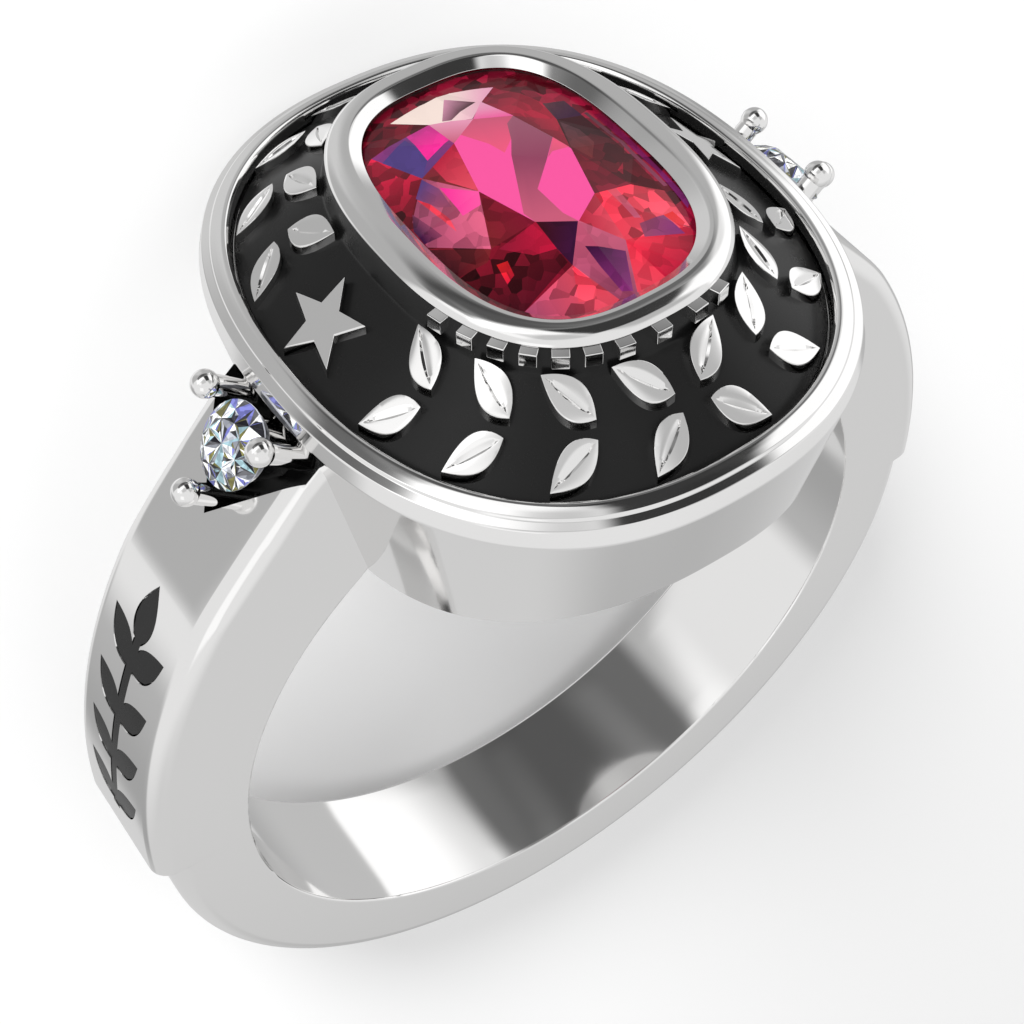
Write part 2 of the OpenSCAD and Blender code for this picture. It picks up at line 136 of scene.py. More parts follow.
TILT = max(tilt_at(RIM_FOOT[1], HEAD_Z), tilt_at(RIM_FOOT[1] - CUP_DRAFT * (HEAD_Z - BORE_R), BORE_R))
FLOOR_H = FOOT_Y * cos(TILT) - FOOT_Z * sin(TILT) + BAND_ROUND
FAR_Y = FOOT_Y * sin(TILT) - FOOT_Z * cos(TILT) + BAND_ROUND
NEAR_Y = max((BEZEL_EDGE[1] - p * BEZEL_END_W) * sin(TILT) + (BEZEL_Z + q * BEZEL_H) * cos(TILT)
             for p, q in BEZEL_PROFILE)
LAY_DOWN = (Matrix.Scale(0.001, 4) @ Matrix.Translation((0, (NEAR_Y - FAR_Y) / 2, FLOOR_H))
            @ Matrix.Rotation(pi / 2 - TILT, 4, "X") @ Matrix.Rotation(pi, 4, "Z"))
RIGHT_FACET = Matrix.Translation((FACET_X, 0, FACET_LOW)) @ Matrix.Rotation(FACET_SLOPE, 4, "Y")
RIGHT_ACCENT = RIGHT_FACET @ Matrix.Translation((-ACCENT_S, 0, 0))
MIRROR = Matrix.Scale(-1, 4, (1, 0, 0))
TURN = np.linspace(0, 2 * pi, 480, endpoint=False)
FINE_TURN = 720


# Meshes

class Parts:
    """Vertices and faces gathered into one mesh, in millimetres."""

    def __init__(self):
        self.points, self.faces, self.slots = [], [], []

    def add(self, points, faces, slot=0, place=None):
        first = len(self.points)
        flip = place is not None and place.determinant() < 0
        for p in points:
            self.points.append(tuple(place @ Vector(p)) if place is not None else tuple(p))
        for f in faces:
            f = [first + i for i in f]
            self.faces.append(f[::-1] if flip else f)
            self.slots.append(slot)

    def build(self, name, materials):
        mesh = bpy.data.meshes.new(name)
        mesh.from_pydata(self.points, [], self.faces)
        for m in materials:
            mesh.materials.append(m)
        mesh.polygons.foreach_set("material_index", self.slots)
        mesh.update()
        piece = bpy.data.objects.new(name, mesh)
        bpy.context.scene.collection.objects.link(piece)
        return piece


def skin(rings, closed=False, caps=False):
    """Points and faces over rings of equally many points, each ring a closed loop."""
    n = len(rings[0])
    points = [tuple(p) for ring in rings for p in ring]
    last = len(rings) if closed else len(rings) - 1
    faces = []
    for k in range(last):
        a, b = k * n, (k + 1) % len(rings) * n
        faces += [(a + i, a + (i + 1) % n, b + (i + 1) % n, b + i) for i in range(n)]
    if caps:
        faces.append(tuple(range(n - 1, -1, -1)))
        faces.append(tuple((len(rings) - 1) * n + i for i in range(n)))
    return points, faces


def finish_mesh(piece, angle=30):
    """Outward normals, then smooth shading with edges sharper than the angle kept crisp."""
    bm = bmesh.new()
    bm.from_mesh(piece.data)
    bmesh.ops.recalc_face_normals(bm, faces=bm.faces)
    bm.to_mesh(piece.data)
    bm.free()
    piece.data.shade_smooth()
    piece.data.set_sharp_from_angle(angle=radians(angle))
    return piece


def apply_modifiers(piece):
    graph = bpy.context.evaluated_depsgraph_get()
    mesh = bpy.data.meshes.new_from_object(piece.evaluated_get(graph))
    piece.modifiers.clear()
    piece.data = mesh


def boolean(piece, tool, operation):
    step = piece.modifiers.new("cut", "BOOLEAN")
    step.operation, step.solver, step.object = operation, "MANIFOLD", tool
    step.material_mode = "TRANSFER"
    apply_modifiers(piece)
    bpy.data.objects.remove(tool)


def weighted(piece):
    step = piece.modifiers.new("normals", "WEIGHTED_NORMAL")
    step.keep_sharp = True
    step.weight = 50
    apply_modifiers(piece)


def place(piece):
    """From the upright ring in millimetres to the resting ring in metres."""
    piece.data.transform(LAY_DOWN)
    piece.data.update()
    return piece


# Outlines

def oval(o, z, turn=TURN):
    """Superellipse of half width, half length and squareness at height z, points evenly spread."""
    c, s = OVAL_SPREAD * np.cos(turn), np.sin(turn)
    k = (np.abs(c / o[0]) ** o[2] + np.abs(s / o[1]) ** o[2]) ** (-1 / o[2])
    return np.stack([c * k, s * k, np.broadcast_to(z, turn.shape)], axis=1)


def oval_point(o, t):
    """The same outline by the part's own angle, in radians."""
    c, s = cos(t), sin(t)
    return np.array([o[0] * np.sign(c) * abs(c) ** (2 / o[2]), o[1] * np.sign(s) * abs(s) ** (2 / o[2])])


def bearing(o, t):
    d = oval_point(o, t + radians(1)) - oval_point(o, t - radians(1))
    return atan2(d[1], d[0])


def grow(o, d):
    return np.array([o[0] + d, o[1] + d, o[2]])


def rounded(path, steps=6):
    """A path of (oval, height, radius) stations with each corner turned into a short curve."""
    q = [np.array([*o, z], float) for o, z, r in path]
    out = []
    for i, (o, z, r) in enumerate(path):
        if r == 0 or i in (0, len(path) - 1):
            out.append(q[i])
            continue
        ends = []
        for other in (q[i - 1], q[i + 1]):
            d = other - q[i]
            ends.append(q[i] + d * min(0.49, r / hypot(d[0], d[3])))
        for u in np.linspace(0, 1, steps):
            out.append((1 - u) ** 2 * ends[0] + 2 * u * (1 - u) * q[i] + u**2 * ends[1])
    return out


def filled(stations, longest=0.3):
    """The same path with long stretches divided."""
    out = [stations[0]]
    for a, b in zip(stations, stations[1:]):
        n = max(1, int(np.ceil(hypot(b[0] - a[0], b[3] - a[3]) / longest)))
        out += [a + (b - a) * (i + 1) / n for i in range(n)]
    return out


# Head

def head_path():
    groove = grow(STONE_EDGE, STONE_GAP)
    hole = np.array([GALLERY_R, GALLERY_R, 2.0])
    half = GIRDLE_T / 2 + STONE_GAP
    return [
        (grow(RIM_FOOT, -CUP_DRAFT * (HEAD_Z - HEAD_LOW)), HEAD_LOW, 0),
        (RIM_FOOT, HEAD_Z, 0.04),
        *[(grow(RIM_FOOT, -p), HEAD_Z + q, r) for p, q, r in RIM_PATH],
        (COLLAR_FOOT, COLLAR_Z - ENAMEL_T, 0.02),
        (grow(WALL_FOOT, -ENAMEL_T), WALL_Z - ENAMEL_T, 0.02),
        (grow(WALL_TOP, -ENAMEL_T), BEZEL_Z + 0.03, 0.01),
        (BEZEL_EDGE, BEZEL_Z + 0.02, 0.03),
        *[(BEZEL_EDGE + (STONE_SEEN - BEZEL_EDGE) * p, BEZEL_Z + q, r) for p, q, r in CREST_PATH],
        (STONE_SEEN, LIP_Z - 0.02, 0.02),
        (grow(groove, -0.03), LIP_Z - 0.06, 0),
        (groove, GIRDLE_Z + half, 0),
        (groove, GIRDLE_Z - half, 0),
        (grow(groove, -0.12), GIRDLE_Z - half - 0.12, 0),
        (hole, GIRDLE_Z - PAVILION_H / 2, 0.05),
        (hole, HEAD_LOW, 0),
    ]


def head(material):
    rings = [oval(s[:3], s[3]) for s in filled(rounded(head_path()))]
    parts = Parts()
    parts.add(*skin(rings, closed=True))
    return finish_mesh(parts.build("head", [material]))


def cylinder(name, radius, low, high, count, material):
    """A cylinder along Y."""
    turn = np.linspace(0, 2 * pi, count, endpoint=False)
    rings = [np.stack([radius * np.cos(turn), np.full(count, y), radius * np.sin(turn)], axis=1)
             for y in (low, high)]
    parts = Parts()
    parts.add(*skin(rings, caps=True))
    return finish_mesh(parts.build(name, [material]))


# Band

def smooth_min(a, b, k):
    h = np.clip(0.5 + 0.5 * (b - a) / k, 0, 1)
    return b + (a - b) * h - k * h * (1 - h)


def outer_at(t, d):
    """Outer radius at angle t from the head's axis for the outline set in by d."""
    panel = np.sqrt((PANEL_R - d) ** 2 - (PANEL_CENTRE * np.cos(t)) ** 2) - PANEL_CENTRE * np.sin(t)
    facet = (FACET_X * sin(FACET_SLOPE) + FACET_LOW * cos(FACET_SLOPE) - d) / np.cos(t - FACET_SLOPE)
    facet = np.where(np.cos(t - FACET_SLOPE) > 0.2, facet, 99)
    flat = SHOULDER_TOP / np.maximum(np.cos(t), 0.1)
    shoulder = np.minimum(smooth_min(panel, facet, CREASE if d < 0.2 else CREASE_FINE), flat)
    k = np.clip((t - SHOULDER_END + SHOULDER_STEP) / SHOULDER_STEP, 0, 1)
    return shoulder + (SHANK_R - d - shoulder) * k * k * (3 - 2 * k)


def band_section(t, inner):
    """Loop of (radius, place along the finger): bore edge, side, outer edge, side."""
    half = BAND_W / 2
    ease = np.linspace(0, pi / 2, 10)
    soft = np.linspace(0, pi / 2, 4)
    outer = [(outer_at(t, BAND_ROUND * (1 - sin(e))), half - BAND_ROUND * (1 - cos(e))) for e in ease]
    bore = [(inner + BORE_ROUND * (1 - cos(e)), half - BORE_ROUND * (1 - sin(e))) for e in soft]
    across = [(outer_at(t, 0), y) for y in np.linspace(half - BAND_ROUND, BAND_ROUND - half, 9)[1:-1]]
    right = bore + outer
    return [(inner, y) for y in np.linspace(BORE_ROUND - half, half - BORE_ROUND, 7)[1:-1]] + right \
        + across + [(r, -y) for r, y in reversed(right)]


def band(material):
    corner, end = atan2(FACET_X, FACET_LOW), SHOULDER_END
    stations = np.concatenate([
        np.radians([37.4, 38.5, 40]), np.linspace(radians(41), corner - 0.03, 8),
        np.linspace(corner - 0.026, corner + 0.026, 17), np.linspace(corner + 0.03, end - 0.02, 50),
        np.linspace(end - 0.012, end + 0.004, 14), np.linspace(end + 0.02, pi, 76)])
    loops = []
    # Inside the head the first loops lean: angle outside, angle at the bore, lift off the bore
    for t, t_bore, lift in ((27, 34.5, 0.06), (31, 36.2, 0.02)):
        t, t_bore, inner = radians(t), radians(t_bore), BORE_R + lift
        loop = []
        for r, y in band_section(t, inner):
            k = np.clip((r - BORE_R) / (outer_at(t, 0) - BORE_R), 0, 1)
            a = t_bore + (t - t_bore) * k
            loop.append((r * sin(a), y, r * cos(a)))
        loops.append(loop)
    loops += [[(r * sin(t), y, r * cos(t)) for r, y in band_section(t, BORE_R)] for t in stations]
    left = [[(-x, y, z) for x, y, z in loop] for loop in loops[:-1]]
    parts = Parts()
    parts.add(*skin([np.array(loop) for loop in loops + left[::-1]], caps=True))
    return finish_mesh(parts.build("band", [material]))


def prism(outline, low, high, stand, material):
    """Upright prism over a plan outline, stood where the matrix says."""
    n = len(outline)
    points = [(x, y, low) for x, y in outline] + [(x, y, high) for x, y in outline]
    faces = [tuple(range(n - 1, -1, -1)), tuple(range(n, 2 * n))]
    faces += [(i, (i + 1) % n, n + (i + 1) % n, n + i) for i in range(n)]
    parts = Parts()
    parts.add(points, faces, place=stand)
    return finish_mesh(parts.build("prism", [material]))


def pocket(mirrored, material):
    far = POCKET_TOP + 1
    outline = [(-POCKET_S, 0), (-POCKET_TOP, POCKET_HALF), (-far, POCKET_HALF),
               (-far, -POCKET_HALF), (-POCKET_TOP, -POCKET_HALF)]
    # The cut takes the black material onto the pocket's walls: painted shade in the deep notch
    return prism(outline, -POCKET_DEPTH, 2, (MIRROR if mirrored else Matrix()) @ RIGHT_FACET, material)


def leaf_outline(length, width, count=14):
    """Pointed leaf along X from the origin, its sides two arcs."""
    k = np.concatenate([np.linspace(0, 1, count, endpoint=False), np.linspace(1, 0, count, endpoint=False)])
    side = np.concatenate([np.ones(count), -np.ones(count)])
    return np.stack([length * k, side * width * 2 * k * (1 - k) * (1.25 - 0.5 * k)], axis=1)


def turned(outline, angle, at=(0, 0)):
    c, s = cos(angle), sin(angle)
    return np.stack([at[0] + c * outline[:, 0] - s * outline[:, 1],
                     at[1] + s * outline[:, 0] + c * outline[:, 1]], axis=1)


def sprig_outlines(extra):
    spread, low = SPRIG_SPREAD, INLAY_LOW
    pitch = INLAY_RUN / (INLAY_PAIRS + 0.5)
    reach = INLAY_W / 2 / sin(spread)
    width = SPRIG_LEAF_W * pitch + 2 * extra
    half, top = STEM_W / 2 + extra, low + INLAY_RUN - pitch / 2 + extra
    shapes = [np.array([(-half, low - extra), (half, low - extra), (half, top), (-half, top)])]
    for i in range(INLAY_PAIRS):
        for s in (1, -1):
            leaf = leaf_outline(reach + 2 * extra, width) + np.array([-extra, 0])
            shapes.append(turned(leaf, pi / 2 + s * spread, (0, low + (i + 0.1) * pitch)))
    tip = leaf_outline(pitch + 2 * extra, width)
    shapes.append(turned(tip, pi / 2, (0, low + INLAY_RUN - pitch - extra)))
    return shapes


def sprig(mirrored, depth, extra, material):
    """The sprig in the skin of one panel, from its depth out past the metal."""
    outward = Matrix(((0, 0, 1, BORE_R - 2), (1, 0, 0, 0), (0, 1, 0, 0), (0, 0, 0, 1)))
    stand = (MIRROR if mirrored else Matrix()) @ outward
    pieces = [prism(o, 0, 5.5, stand, material) for o in sprig_outlines(extra)]
    for other in pieces[1:]:
        boolean(pieces[0], other, "UNION")
    core = cylinder("core", PANEL_R - depth, -BAND_W, BAND_W, FINE_TURN, material)
    core.data.transform(Matrix.Translation((PANEL_CENTRE if mirrored else -PANEL_CENTRE, 0, 0)))
    boolean(pieces[0], core, "DIFFERENCE")
    return pieces[0]


# Relief

def slope_height(x, y):
    """Height of the dark surface over a point of the plan."""
    low, high = np.zeros_like(x), np.ones_like(x)
    for _ in range(40):
        k = (low + high) / 2
        o = [COLLAR_FOOT[i] + (WALL_FOOT[i] - COLLAR_FOOT[i]) * k for i in range(3)]
        inside = np.abs(x / o[0]) ** o[2] + np.abs(y / o[1]) ** o[2] < 1
        low, high = np.where(inside, k, low), np.where(inside, high, k)
    return COLLAR_Z + (WALL_Z - COLLAR_Z) * low


def raised(parts, outline, inner, groove):
    """A raised shape over the dark surface: side, small rounded edge, top, down to its inner line."""
    levels = [(0, -0.1), (0, RELIEF_H - 0.05), (0.012, RELIEF_H - 0.022), (0.035, RELIEF_H - 0.006),
              (0.07, RELIEF_H), (0.45, RELIEF_H + 0.004), (0.8, RELIEF_H), (1, RELIEF_H - groove)]
    rings = []
    for share, up in levels:
        plan = outline + (inner - outline) * share
        z = slope_height(plan[:, 0], plan[:, 1]) + up
        rings.append(np.column_stack([plan, z]))
    parts.add(*skin(rings, caps=True))


def leaves(parts, mirror_x, mirror_y):
    mid = (COLLAR_FOOT + WALL_FOOT) / 2
    quarter = np.array([oval_point(mid, radians(i)) for i in range(91)])
    runs = np.concatenate([[0], np.cumsum(np.linalg.norm(np.diff(quarter, axis=0), axis=1))])
    pitch = (runs[-1] - 1.25 * STAR_R) / LEAF_PAIRS
    sign = np.array([-1 if mirror_x else 1, -1 if mirror_y else 1])
    outline = leaf_outline(LEAF_L, LEAF_W, 22)
    vein = outline * [1, VEIN_W]
    vein[:, 0] = VEIN_START * LEAF_L + VEIN_RUN * vein[:, 0]
    for i in range(LEAF_PAIRS):
        start = runs[-1] - (i + LEAF_SETBACK) * pitch
        a = oval_point(mid, radians(np.interp(start, runs, range(91))))
        b = oval_point(mid, radians(np.interp(start - LEAF_L, runs, range(91))))
        along = atan2(b[1] - a[1], b[0] - a[0])
        for s in (1, -1):
            at = turned(np.array([[LEAF_ROOT, 0]]), along + s * LEAF_SPREAD, a)[0]
            shapes = [turned(o, along + s * LEAF_SPREAD, at) * sign for o in (outline, vein)]
            raised(parts, *shapes, groove=LEAF_GROOVE)


def stars(parts):
    flat = STAR_FLAT * cos(atan2(WALL_Z - COLLAR_Z, COLLAR_FOOT[0] - WALL_FOOT[0]))
    tips = [(q * cos(a) * flat, q * sin(a)) for i in range(10)
            for q, a in [(STAR_R if i % 2 == 0 else STAR_INNER * STAR_R, radians(18 + 36 * i))]]
    outline = []
    for a, b in zip(tips, tips[1:] + tips[:1]):
        outline += [np.add(a, np.subtract(b, a) * u) for u in np.linspace(0, 1, 8, endpoint=False)]
    outline = np.array(outline)
    for sx in (1, -1):
        at = np.array([(COLLAR_FOOT[0] + WALL_FOOT[0]) / 2 + STAR_IN, STAR_SIDE * STAR_R])
        raised(parts, (outline + at) * [sx, 1], (outline * 0.02 + at) * [sx, 1], groove=0)


def bars(parts):
    deep, soft = 2 * ENAMEL_T, 0.02
    for i in range(BAR_COUNT):
        t = radians(BAR_START + (i + 0.5) * BAR_SPAN / BAR_COUNT)
        stand = (Matrix.Translation((*oval_point(WALL_TOP, t), BEZEL_Z + BAR_LAP - BAR_H))
                 @ Matrix.Rotation(bearing(WALL_TOP, t), 4, "Z"))
        bm = bmesh.new()
        bmesh.ops.create_cube(bm, size=1, matrix=Matrix.Translation((0, (deep - BAR_OUT) / 2, BAR_H / 2))
                              @ Matrix.Diagonal((BAR_W, BAR_OUT + deep, BAR_H, 1)))
        bmesh.ops.bevel(bm, geom=bm.edges[:], offset=soft, segments=3, profile=0.5, affect="EDGES")
        bm.verts.ensure_lookup_table()
        parts.add([v.co for v in bm.verts], [[v.index for v in f.verts] for f in bm.faces], place=stand)
        bm.free()


# Accent settings

def lathe(parts, profile, stand, count=48):
    """Surface of revolution about Z through (radius, height) points, closed at both ends on the axis."""
    turn = np.linspace(0, 2 * pi, count, endpoint=False)
    rings = [np.stack([r * np.cos(turn), r * np.sin(turn), np.full(count, z)], axis=1)
             for r, z in profile]
    parts.add(*skin(rings, caps=True), place=stand)


def setting(parts, mirrored):
    stand = (MIRROR if mirrored else Matrix()) @ RIGHT_ACCENT
    tip_r, ball_up, root = ACCENT_D / 2 + STONE_GAP + BALL_D / 2, PRONG_UP - BALL_D / 2, -POCKET_DEPTH - 0.1
    ball_r, prong_r = BALL_D / 2, PRONG_D / 2
    neck = asin(prong_r / ball_r)
    prong = [(prong_r, root), (prong_r, root / 2), (prong_r, ball_up - ball_r * cos(neck) - 0.02)]
    prong += [(ball_r * sin(a), ball_up - ball_r * cos(a)) for a in np.linspace(neck, pi - 0.02, 28)]
    for a in (0, 120, 240):
        lathe(parts, prong, stand @ Matrix.Rotation(radians(a), 4, "Z") @ Matrix.Translation((tip_r, 0, 0)))
    top = ACCENT_UP - SEAT_DROP
    seat_r = SEAT_SHARE * ACCENT_D / 2
    depth = SEAT_DEPTH * ACCENT_D + STONE_GAP
    inner = (ACCENT_D / 2 + 2 * STONE_GAP) * (1 - (ACCENT_UP - top) / depth)
    seat = [(0.5, root), (seat_r - 0.03, top - 0.05), (seat_r - 0.005, top - 0.015), (seat_r - 0.03, top),
            (inner + 0.03, top), (inner, top - 0.02), (0.02, ACCENT_UP - depth)]
    lathe(parts, seat, stand, 72)


# Stones

def crown_faces(table, star, girdle):
    """Triangles of a crown: 8 table points, 8 star points, 32 girdle points with tips at every fourth."""
    center = np.mean(table, axis=0)
    faces = []
    for i in range(8):
        here, beyond = table[i], table[(i + 1) % 8]
        s, s_next = star[i], star[(i + 1) % 8]
        g = [girdle[(4 * i + k) % 32] for k in range(7)]
        faces += [(center, here, beyond), (here, s_next, beyond), (here, s, g[0]), (here, g[0], s_next)]
        faces += [(s_next, g[k], g[k + 1]) for k in range(4)]
    return np.array(faces)


def height_on(faces, x, y):
    """Height of a crown's triangles over a point of the plan."""
    best, height = -9.0, 0.0
    for a, b, c in faces:
        area = (b[0] - a[0]) * (c[1] - a[1]) - (b[1] - a[1]) * (c[0] - a[0])
        if abs(area) < 1e-9:
            continue
        v = ((x - a[0]) * (c[1] - a[1]) - (y - a[1]) * (c[0] - a[0])) / area
        w = ((b[0] - a[0]) * (y - a[1]) - (b[1] - a[1]) * (x - a[0])) / area
        margin = min(v, w, 1 - v - w)
        if margin > best:
            best, height = margin, a[2] + v * (b[2] - a[2]) + w * (c[2] - a[2])
    return height


def within(point, outline):
    """Whether a point of the plan lies in a polygon."""
    x, y = point
    inside = False
    for (ax, ay), (bx, by) in zip(outline, outline[1:] + outline[:1]):
        if (ay > y) != (by > y) and x < ax + (y - ay) / (by - ay) * (bx - ax):
            inside = not inside
    return inside


def linear(name):
    """A palette colour as linear light."""
    return [(c / 255 / 12.92) if c < 10.3 else ((c / 255 + 0.055) / 1.055) ** 2.4 for c in PALETTE[name]]


def lower_faces(girdle, edge, belly, keel):
    """Points and faces of a stone below its crown: girdle band, pavilion and keel."""
    n, m = len(girdle), len(belly)
    points = [(x, y, z + edge) for x, y, z in girdle] + [(x, y, z - edge) for x, y, z in girdle]
    points += belly + keel
    low, deep = 2 * n, 2 * n + m
    faces = [(i, n + i, n + (i + 1) % n, (i + 1) % n) for i in range(n)]
    for i in range(m):
        b, b_next = low + i, low + (i + 1) % m
        faces += [(n + 2 * i, b, n + 2 * i + 1), (n + 2 * i + 1, b, b_next),
                  (n + 2 * i + 1, b_next, n + (2 * i + 2) % n)]
    for i in range(m // 2):
        a, b, c = low + 2 * i, low + 2 * i + 1, low + (2 * i + 2) % m
        k, k_next = deep + i, deep + (i + 1) % (m // 2)
        faces += [(a, k, b), (b, k, k_next), (b, k_next, c)]
    faces.append(tuple(deep + i for i in range(m // 2 - 1, -1, -1)))
    return points, faces


def cut_stone(name, crown, lower, materials):
    """One mesh from a coloured crown, given as (points, faces, colours), and the part below it, each of its
    facets a random painted reflection.
    """
    parts = Parts()
    points, faces, colours = crown
    parts.add(points, faces, 0)
    parts.add(*lower, 1)
    piece = parts.build(name, materials)
    layer = piece.data.color_attributes.new("facet", "FLOAT_COLOR", "CORNER")
    rng = np.random.default_rng(len(name))
    for k, polygon in enumerate(piece.data.polygons):
        # Each facet below the crown gets a random brightness: painted reflections
        shade = 0.4 + 0.6 * rng.random()
        for j, loop in enumerate(polygon.loop_indices):
            layer.data[loop].color = colours[k][j] if k < len(faces) else (shade, shade, shade, 0)
    bm = bmesh.new()
    bm.from_mesh(piece.data)
    bmesh.ops.remove_doubles(bm, verts=bm.verts, dist=1e-4)
    bmesh.ops.recalc_face_normals(bm, faces=bm.faces)
    bm.to_mesh(piece.data)
    bm.free()
    return piece


def ring_of(o, z, count, turn=0.0):
    return [(*oval_point(o, 2 * pi * i / count + turn), z) for i in range(count)]


# Tones of the painted glints and reflections splintering the small stones' crowns,
# and how far each is broken up
ACCENT_PAINTED_GLINTS = [(0.01, 0.01, 0.015), (0.04, 0.04, 0.045), (0.10, 0.10, 0.11), (0.22, 0.23, 0.26),
                (0.45, 0.47, 0.52), (0.85, 0.87, 0.9), (0.95, 0.95, 0.93), (0.16, 0.17, 0.46),
                (0.16, 0.15, 0.05), (0.30, 0.45, 0.50)]
ACCENT_PAINTED_SPARKLE = 0.45

# The centre stone's colours as shown on a screen: its reds with painted reflections and glare
PALETTE = {
    "pink": (255, 88, 168), "salmon": (246, 92, 132), "rose": (205, 92, 124), "mauve": (158, 94, 116),
    "pale": (244, 172, 204), "cream": (255, 238, 228), "orchid": (196, 44, 142), "fuchsia": (250, 32, 156),
    "plum": (134, 46, 118), "violet": (76, 58, 128), "night": (58, 14, 58), "maroon": (58, 4, 18),
    "wine": (98, 6, 26), "garnet": (128, 14, 44), "crimson": (176, 12, 52), "scarlet": (232, 42, 68),
    "flame": (244, 34, 34), "coral": (222, 72, 92), "dusk": (88, 50, 60), "heather": (148, 66, 98),
    "umber": (112, 28, 34),
}
